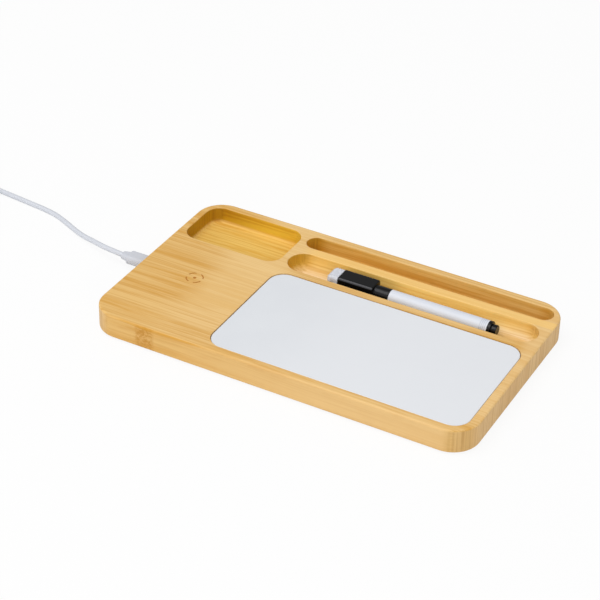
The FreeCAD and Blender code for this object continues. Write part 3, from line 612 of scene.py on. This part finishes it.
def whiteboard_finish(grain):
    """Smooth white, a little greyer at the left and where it was wiped."""
    settings = {"Scale": 500.0, "Low": 0.20, "High": 0.30}
    finish, tree, shader, place, effect = start_finish("panel", grain, settings)
    wiped = noise(tree, stretched(tree, place, panel_wipe_stretch), 1.0, 3.0)
    ghost = times(tree, ramped(tree, wiped, 0.55, 0.8), 0.12)
    base = mixed(tree, effect["Tone"], colour(218, 221, 226), colour(225, 228, 232))
    base = mixed(tree, ghost, base, colour(211, 215, 221))
    rightward = ramped(tree, axes(tree, place)["X"], *panel_fade, 0.0, 0.7)
    base = mixed(tree, rightward, base, colour(230, 232, 236))
    plain = {"Specular IOR Level": 0.4, "Coat Weight": 0.15, "Coat Roughness": 0.2}
    fill_shader(tree, shader, base, effect, effect["Height"], 0.004 * mm, plain)
    return finish


def from_marker_axis(tree, place):
    """How far a place is from the marker's axis, and the barrel's own radius."""
    low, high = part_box("marker_barrel")
    apart = vector_maths(tree, "SUBTRACT", place, (low + high) / 2)[0]
    across = stretched(tree, apart, (0.0, 1.0, 1.0))
    return vector_maths(tree, "LENGTH", across)["Value"], (high.z - low.z) / 2


def barrel_finish(grain):
    """Smooth white, a little darker in the turned rings near the tail."""
    settings = {"Scale": 800.0, "Low": 0.34, "High": 0.46}
    finish, tree, shader, place, effect = start_finish("marker_white", grain, settings)
    radius, skin = from_marker_axis(tree, place)
    sunk = within(tree, radius, skin - ring_depth, skin - ring_least_depth, ring_soft)
    base = mixed(tree, effect["Tone"], colour(214, 218, 227), colour(222, 226, 234))
    base = mixed(tree, sunk, base, colour(200, 205, 216))
    fill_shader(tree, shader, base, effect, effect["Height"], 0.006 * mm, {"Specular IOR Level": 0.4})
    return finish


def cap_finish(grain):
    """Glossy black, with a painted highlight where it faces up and to the front, most on the block's corner."""
    settings = {"Scale": 700.0, "Low": 0.14, "High": 0.24}
    finish, tree, shader, place, effect = start_finish("cap_black", grain, settings)
    facing = object_normal(tree)
    radius, skin = from_marker_axis(tree, place)
    low, high = block_corner_fade
    painted_highlight = times(tree, within(tree, facing["Y"], -0.85, -0.4, 0.2), ramped(tree, facing["Z"], 0.3, 0.6),
                   ramped(tree, radius, skin + low, skin + high, 0.25, 0.85))
    base = mixed(tree, effect["Tone"], colour(5, 5, 6), colour(9, 9, 10))
    # Painted highlight: a paler band where the cap faces up and to the front
    base = mixed(tree, painted_highlight, base, colour(74, 74, 77))
    fill_shader(tree, shader, base, effect, effect["Height"], 0.006 * mm, {"Specular IOR Level": 0.18})
    return finish


def circuit_finish(grain):
    """Green solder mask over copper tracks."""
    settings = {"Scale": 1200.0, "Low": 0.25, "High": 0.4}
    finish, tree, shader, place, effect = start_finish("circuit", grain, settings)
    inputs = {"Vector": place, "Scale": 160.0, "Mortar Size": 0.03, "Brick Width": 0.7, "Row Height": 0.22}
    tracks = add(tree, "ShaderNodeTexBrick", inputs).outputs["Fac"]
    base = mixed(tree, effect["Tone"], colour(18, 84, 48), colour(30, 104, 60))
    base = mixed(tree, times(tree, tracks, 0.7), base, colour(66, 138, 82))
    fill_shader(tree, shader, base, effect, tracks, 0.03 * mm)
    return finish


def strap_finish(fibre):
    """A woven strap with a soft pile: ribs run across its length."""
    finish, tree, shader, place, effect = start_finish("tie_fabric", fibre, {"Scale": 1800.0})
    inputs = {"Vector": place, "Scale": 320.0, "Distortion": 1.2, "Detail": 1.0}
    weave = add(tree, "ShaderNodeTexWave", inputs, bands_direction="Y").outputs["Fac"]
    tone = weighed(tree, effect["Tone"], weave, 0.6)
    base = mixed(tree, tone, colour(190, 194, 202), colour(228, 230, 235))
    plain = {"Roughness": 0.9, "Sheen Weight": 0.3, "Sheen Roughness": 0.5}
    fill_shader(tree, shader, base, effect, tone, 0.12 * mm, plain)
    return finish


def make_finishes():
    grain = moulded_grain_group()
    lines = drawn_lines_group()
    fibre = matted_fibre_group()
    satin = {"Scale": 1100.0, "Low": 0.42, "High": 0.58}
    matt = {"Scale": 1600.0, "Low": 0.62, "High": 0.8}
    rubbery = {"Scale": 1500.0, "Low": 0.7, "High": 0.9}
    along = {"Stretch": (60.0, 2400.0, 2400.0), "Low": 0.28, "High": 0.46}
    bright = {"Stretch": (2000.0, 2000.0, 80.0), "Low": 0.15, "High": 0.3}
    metal = {"Metallic": 1.0}
    ink = {"Roughness": 0.85}
    nap = {"Roughness": 0.95, "Sheen Weight": 0.35, "Sheen Roughness": 0.5}
    # Each with its effect and the effect's settings, its dark and light tones, its relief in mm and plain values
    simple = (
        ("glue", grain, matt, (214, 212, 204), (228, 226, 219), 0.02, {}),
        ("foot_rubber", grain, rubbery, (46, 46, 48), (62, 62, 64), 0.05, {}),
        ("cover", grain, matt, (38, 38, 41), (50, 50, 53), 0.05, {}),
        ("screw_steel", lines, bright, (150, 150, 154), (190, 190, 193), 0.01, metal),
        ("copper", lines, bright, (176, 98, 58), (214, 132, 84), 0.01, metal),
        ("ferrite", grain, matt, (46, 46, 50), (66, 66, 70), 0.04, {}),
        ("chip", grain, matt, (24, 24, 26), (36, 36, 38), 0.02, {}),
        ("capacitor", grain, satin, (150, 118, 88), (176, 142, 108), 0.02, {}),
        ("plug_steel", lines, along, (146, 147, 151), (182, 183, 186), 0.006, metal),
        ("dark_plastic", grain, satin, (26, 26, 29), (38, 38, 41), 0.01, {}),
        ("ink_fibre", fibre, {"Scale": 2200.0}, (20, 20, 24), (44, 44, 50), 0.06, ink),
        ("felt", fibre, {"Scale": 1700.0}, (208, 211, 220), (236, 238, 244), 0.12, nap),
        ("magnet", lines, bright, (170, 170, 172), (206, 206, 208), 0.005, metal),
        ("plug_white", grain, satin, (198, 201, 209), (206, 209, 216), 0.012, {"Specular IOR Level": 0.4}),
        ("cord_white", grain, satin, (204, 207, 215), (212, 215, 222), 0.004, {"Specular IOR Level": 0.35}),
        ("tongue_white", grain, satin, (214, 215, 218), (228, 229, 232), 0.01, {}),
        ("contact_gold", lines, along, (196, 152, 70), (224, 184, 104), 0.005, metal),
    )
    finishes = {
        "bamboo": bamboo_finish(bamboo_strips_group()),
        "panel": whiteboard_finish(grain),
        "circuit": circuit_finish(grain),
        "marker_white": barrel_finish(grain),
        "cap_black": cap_finish(grain),
        "tie_fabric": strap_finish(fibre),
    }
    for name, group, settings, dark, light, relief, plain in simple:
        finishes[name] = surfaced(name, group, settings, colour(*dark), colour(*light), relief * mm, plain)
    return finishes


def dress_nodes(finishes):
    for entry in frame["record"]["subparts"]:
        materials = parts[entry["node"]].data.materials
        materials.clear()
        materials.append(finishes[entry["material_slot"]])


# Pieces

def new_piece(name, data):
    piece = bpy.data.objects.new(name, data)
    bpy.context.scene.collection.objects.link(piece)
    return piece


def baked(piece):
    """The piece as a plain mesh, with what its modifiers make and none of them left."""
    bpy.context.view_layer.update()
    evaluated = piece.evaluated_get(bpy.context.evaluated_depsgraph_get())
    mesh = bpy.data.meshes.new_from_object(evaluated)
    piece.modifiers.clear()
    piece.data = mesh
    return piece


def smooth_shaded(piece):
    for face in piece.data.polygons:
        face.use_smooth = True
    return piece


def round_edges(piece, width):
    edge = piece.modifiers.new("edge", "BEVEL")
    edge.width = width
    edge.segments = edge_segments
    edge.limit_method = "ANGLE"


def coil_points():
    """Turns that wind in on the lower layer, climb, and wind out on the upper one."""
    steps_in = round(coil_turns_in * coil_points_per_turn)
    steps_out = round(coil_turns_out * coil_points_per_turn)
    points = []
    for step in range(steps_in + steps_out + 1):
        turned = (step - steps_in) / coil_points_per_turn
        angle = math.pi / 2 + step * 2 * math.pi / coil_points_per_turn
        radius = coil_inner_radius + coil_pitch * abs(turned)
        rise = min(max(turned * 2 + 0.5, 0.0), 1.0)
        z = coil_low + (coil_high - coil_low) * rise * rise * (3 - 2 * rise)
        points.append(coil_centre + Vector((radius * math.cos(angle), radius * math.sin(angle), z)))
    return points


def make_cord(finish):
    line = bpy.data.curves.new("cord", "CURVE")
    line.dimensions = "3D"
    line.bevel_depth = cord_diameter / 2
    line.bevel_resolution = cord_round_steps
    line.resolution_u = cord_line_steps
    line.use_fill_caps = True
    points = [Vector(p) for p in cord_route] + coil_points() + [Vector(p) for p in tail_route]
    spline = line.splines.new("NURBS")
    spline.points.add(len(points) - 1)
    for control, point in zip(spline.points, points):
        control.co = (*point, 1.0)
    spline.order_u = 3
    spline.use_endpoint_u = True
    line.materials.append(finish)
    return new_piece("cord", line)


def strap_line(low, high):
    """Round the turns from the middle of the top, and on over its own beginning."""
    centre = (low + high) / 2
    half_x = (high.x - low.x - strap_thickness) / 2
    half_z = (high.z - low.z - strap_thickness) / 2
    flat = half_x - strap_corner
    line = [(lap_climb / 2, half_z)]
    for quarter, (side, level) in enumerate(((-1, 1), (-1, -1), (1, -1), (1, 1))):
        for step in range(strap_corner_steps + 1):
            angle = math.pi / 2 * (quarter + 1 + step / strap_corner_steps)
            line.append((side * flat + strap_corner * math.cos(angle),
                         level * (half_z - strap_corner) + strap_corner * math.sin(angle)))
    over = half_z + strap_thickness
    line += [(lap_climb * 1.5, half_z), (lap_climb * 0.8, half_z + strap_thickness * 0.8),
             (lap_climb * 0.4, over), (-flat * lap_share, over)]
    return [(centre.x + x, centre.z + z) for x, z in line]


def make_tie(finish):
    """A strap round the turns, lapped over itself on top."""
    low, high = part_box("cord_tie")
    mesh = bpy.data.meshes.new("cord_tie_strap")
    form = bmesh.new()
    rows = []
    for x, z in strap_line(low, high):
        rows.append([form.verts.new((x, y, z)) for y in (low.y, high.y)])
    for row, following in zip(rows, rows[1:]):
        form.faces.new((row[0], row[1], following[1], following[0]))
    form.to_mesh(mesh)
    form.free()
    mesh.materials.append(finish)
    strap = new_piece("cord_tie_strap", mesh)
    wall = strap.modifiers.new("wall", "SOLIDIFY")
    wall.thickness = strap_thickness
    wall.offset = 0.0
    round_edges(strap, strap_edge)
    return smooth_shaded(baked(strap))


def geometry_group(name, sockets_in):
    return new_group(name, "GeometryNodeTree", sockets_in, [("Geometry", "NodeSocketGeometry")])


def put_out_dressed(tree, result, geometry, finish):
    dressed = add(tree, "GeometryNodeSetMaterial", {"Geometry": geometry, "Material": finish})
    return put_out(tree, result, {"Geometry": dressed.outputs[0]})


def fibre_tree(finish):
    """Short bent fibres that stand on a surface, joined to it."""
    tree, given, result = geometry_group("felt_fibres", [
        ("Geometry", "NodeSocketGeometry", None), ("Density", "NodeSocketFloat", 1.0e6),
        ("Length", "NodeSocketFloat", 0.001), ("Radius", "NodeSocketFloat", 0.0001), ("Seed", "NodeSocketInt", 1)])
    spots = add(tree, "GeometryNodeDistributePointsOnFaces",
                {"Mesh": given["Geometry"], "Density": given["Density"], "Seed": given["Seed"]})
    tip = add(tree, "ShaderNodeCombineXYZ", {0: times(tree, given["Length"], fibre_reach),
                                             2: times(tree, given["Length"], fibre_rise)}).outputs[0]
    knee = add(tree, "ShaderNodeCombineXYZ", {2: times(tree, given["Length"], fibre_knee)}).outputs[0]
    bend = add(tree, "GeometryNodeCurveQuadraticBezier",
               {"Resolution": 3, "Start": (0.0, 0.0, 0.0), "Middle": knee, "End": tip})
    section = add(tree, "GeometryNodeCurvePrimitiveCircle", {"Resolution": 3, "Radius": given["Radius"]})
    strand = add(tree, "GeometryNodeCurveToMesh", {"Curve": bend.outputs[0], "Profile Curve": section.outputs[0],
                                                   "Fill Caps": True})
    least, most = (-fibre_lean, -fibre_lean, 0.0), (fibre_lean, fibre_lean, 2 * math.pi)
    spin = add(tree, "FunctionNodeRandomValue", {0: least, 1: most, "Seed": given["Seed"]},
               data_type="FLOAT_VECTOR")
    turn = add(tree, "FunctionNodeEulerToRotation", {0: spin.outputs[0]})
    lay = add(tree, "FunctionNodeRotateRotation",
              {"Rotation": spots.outputs["Rotation"], "Rotate By": turn.outputs[0]}, rotation_space="LOCAL")
    stood = add(tree, "GeometryNodeInstanceOnPoints",
                {"Points": spots.outputs["Points"], "Instance": strand.outputs[0], "Rotation": lay.outputs[0]})
    real = add(tree, "GeometryNodeRealizeInstances", {0: stood.outputs[0]})
    both = add(tree, "GeometryNodeJoinGeometry")
    tree.links.new(given["Geometry"], both.inputs[0])
    tree.links.new(real.outputs[0], both.inputs[0])
    return put_out_dressed(tree, result, both.outputs[0], finish)


def set_inputs(modifier, values):
    """Sets a tree's inputs by name, through their identifiers."""
    for item in modifier.node_group.interface.items_tree:
        if item.item_type == "SOCKET" and item.in_out == "INPUT" and item.name in values:
            modifier[item.identifier] = values[item.name]


def make_eraser(finish):
    """A pressed felt pad: the solid's form, with a soft lumpy surface and a short nap."""
    mesh = parts["cap_eraser"].data.copy()
    form = bmesh.new()
    form.from_mesh(mesh)
    bmesh.ops.remove_doubles(form, verts=form.verts, dist=1e-6)
    form.to_mesh(mesh)
    form.free()
    pad = new_piece("eraser_felt", mesh)
    skin = pad.modifiers.new("skin", "REMESH")
    skin.mode = "VOXEL"
    skin.voxel_size = felt_voxel
    lumps = bpy.data.textures.new("felt_lumps", "CLOUDS")
    lumps.noise_scale = felt_lump_size
    swell = pad.modifiers.new("lumps", "DISPLACE")
    swell.texture = lumps
    swell.texture_coords = "LOCAL"
    swell.strength = felt_lump
    swell.mid_level = felt_lump_level
    baked(pad)
    nap = pad.modifiers.new("nap", "NODES")
    nap.node_group = fibre_tree(finish)
    set_inputs(nap, {
        "Density": fibres_per_square_metre,
        "Length": fibre_length,
        "Radius": fibre_radius,
        "Seed": fibre_seed,
    })
    return smooth_shaded(baked(pad))


def rib_tree(finish):
    """Flat oval ribs along a tapered relief, each as large as the relief is there."""
    tree, given, result = geometry_group("relief_ribs", [
        ("Count", "NodeSocketInt", 5), ("First", "NodeSocketVector", None), ("Step", "NodeSocketVector", None),
        ("Small", "NodeSocketVector", None), ("Large", "NodeSocketVector", None),
        ("Depth", "NodeSocketFloat", 0.001)])
    row = add(tree, "GeometryNodeMeshLine", {"Count": given["Count"], "Start Location": given["First"],
                                             "Offset": given["Step"]})
    rib = add(tree, "GeometryNodeMeshCylinder", {"Vertices": relief_rib_sides, "Radius": 1.0,
                                                 "Depth": given["Depth"]})
    upright = add(tree, "GeometryNodeTransform", {"Geometry": rib.outputs[0],
                                                  "Rotation": (math.pi / 2, 0.0, 0.0)})
    last = maths(tree, "SUBTRACT", given["Count"], 1.0)
    share = maths(tree, "DIVIDE", add(tree, "GeometryNodeInputIndex").outputs[0], last)
    inputs = {0: share, 4: given["Small"], 5: given["Large"]}
    size = add(tree, "ShaderNodeMix", inputs, data_type="VECTOR").outputs[1]
    stood = add(tree, "GeometryNodeInstanceOnPoints",
                {"Points": row.outputs[0], "Instance": upright.outputs[0], "Scale": size})
    real = add(tree, "GeometryNodeRealizeInstances", {0: stood.outputs[0]})
    return put_out_dressed(tree, result, real.outputs[0], finish)


def make_relief_ribs(finish):
    low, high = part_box("supply_plug_relief")
    length = high.y - low.y
    centre = (low + high) / 2
    pitch = length / (relief_rib_count + 1)
    wide, tall = (high.x - low.x) / 2, (high.z - low.z) / 2

    def half_sizes(place):
        share = (high.y - place) / length
        half_x, half_z = (relief_small_half + (large - relief_small_half) * share for large in (wide, tall))
        return (half_x + relief_rib_proud, 1.0, half_z + relief_rib_proud)

    first = high.y - pitch
    ribs = new_piece("relief_ribs", bpy.data.meshes.new("relief_ribs"))
    row = ribs.modifiers.new("ribs", "NODES")
    row.node_group = rib_tree(finish)
    set_inputs(row, {
        "Count": relief_rib_count,
        "First": (centre.x, first, centre.z),
        "Step": (0.0, -pitch, 0.0),
        "Small": half_sizes(first),
        "Large": half_sizes(high.y - pitch * relief_rib_count),
        "Depth": relief_rib_depth,
    })
    baked(ribs)
    round_edges(ribs, relief_rib_edge)
    return smooth_shaded(baked(ribs))


# Stage

def place_camera():
    back = Vector((math.sin(view_turn) * math.cos(view_lift), -math.cos(view_turn) * math.cos(view_lift),
                   math.sin(view_lift)))
    level = Vector((0, 0, 1)).cross(back).normalized()
    upright = back.cross(level)
    c, s = math.cos(view_roll), math.sin(view_roll)
    right = level * c + upright * s
    up = upright * c - level * s
    lens = bpy.data.cameras.new("photo_view")
    lens.lens = view_lens_mm
    lens.sensor_width = view_sensor_mm
    lens.clip_end = view_far
    camera = new_piece("photo_view", lens)
    turned = Matrix((right, up, back)).transposed().to_4x4()
    camera.matrix_world = Matrix.Translation(view_target + back * view_distance) @ turned
    bpy.context.scene.camera = camera


def floor_finish():
    """A pale sheet that the lens sees as near white, with the object's soft shadow on it."""
    finish = bpy.data.materials.new("studio_floor")
    finish.use_nodes = True
    tree = finish.node_tree
    tree.nodes.clear()
    sheet = add(tree, "ShaderNodeBsdfDiffuse", {"Color": floor_grey})
    glow = add(tree, "ShaderNodeEmission", {"Color": white, "Strength": 1.0})
    path = add(tree, "ShaderNodeLightPath").outputs
    mirrored = maths(tree, "MAXIMUM", path["Is Glossy Ray"], path["Is Transmission Ray"])
    seen = maths(tree, "MAXIMUM", path["Is Camera Ray"], mirrored)
    share = times(tree, seen, floor_glow_share)
    both = add(tree, "ShaderNodeMixShader", {0: share, 1: sheet.outputs[0], 2: glow.outputs[0]})
    output = tree.nodes.new("ShaderNodeOutputMaterial")
    tree.links.new(both.outputs[0], output.inputs[0])
    return finish


def make_floor():
    mesh = bpy.data.meshes.new("studio_floor")
    corners = [(x * floor_half, y * floor_half, floor_height) for x, y in ((-1, -1), (1, -1), (1, 1), (-1, 1))]
    mesh.from_pydata(corners, [], [(0, 1, 2, 3)])
    mesh.materials.append(floor_finish())
    floor = new_piece("studio_floor", mesh)


def add_lamp(name, place, size, power):
    lamp = bpy.data.lights.new(name, "AREA")
    lamp.shape = "DISK"
    lamp.size = size
    lamp.energy = power
    lamp_object = new_piece(name, lamp)
    aim = view_target - Vector(place)
    lamp_object.matrix_world = Matrix.Translation(place) @ aim.to_track_quat("-Z", "Y").to_matrix().to_4x4()


def light_studio():
    world = bpy.data.worlds.new("studio")
    bpy.context.scene.world = world
    world.use_nodes = True
    tree = world.node_tree
    tree.nodes.clear()
    dome = add(tree, "ShaderNodeBackground", {"Color": white, "Strength": dome_strength})
    output = tree.nodes.new("ShaderNodeOutputWorld")
    tree.links.new(dome.outputs[0], output.inputs[0])
    for lamp in lamps:
        add_lamp(*lamp)


finishes = make_finishes()
dress_nodes(finishes)

cord = make_cord(finishes["cord_white"])
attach(cord, "cable")
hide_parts("cord_lead", "cord_coil", "cord_tail")

tie = make_tie(finishes["tie_fabric"])
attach(tie, "cable")
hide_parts("cord_tie")

ribs = make_relief_ribs(finishes["plug_white"])
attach(ribs, "cable")

eraser = make_eraser(finishes["felt"])
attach(eraser, "cap")
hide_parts("cap_eraser")

place_camera()
make_floor()
light_studio()
bpy.context.scene.view_settings.view_transform = "Standard"
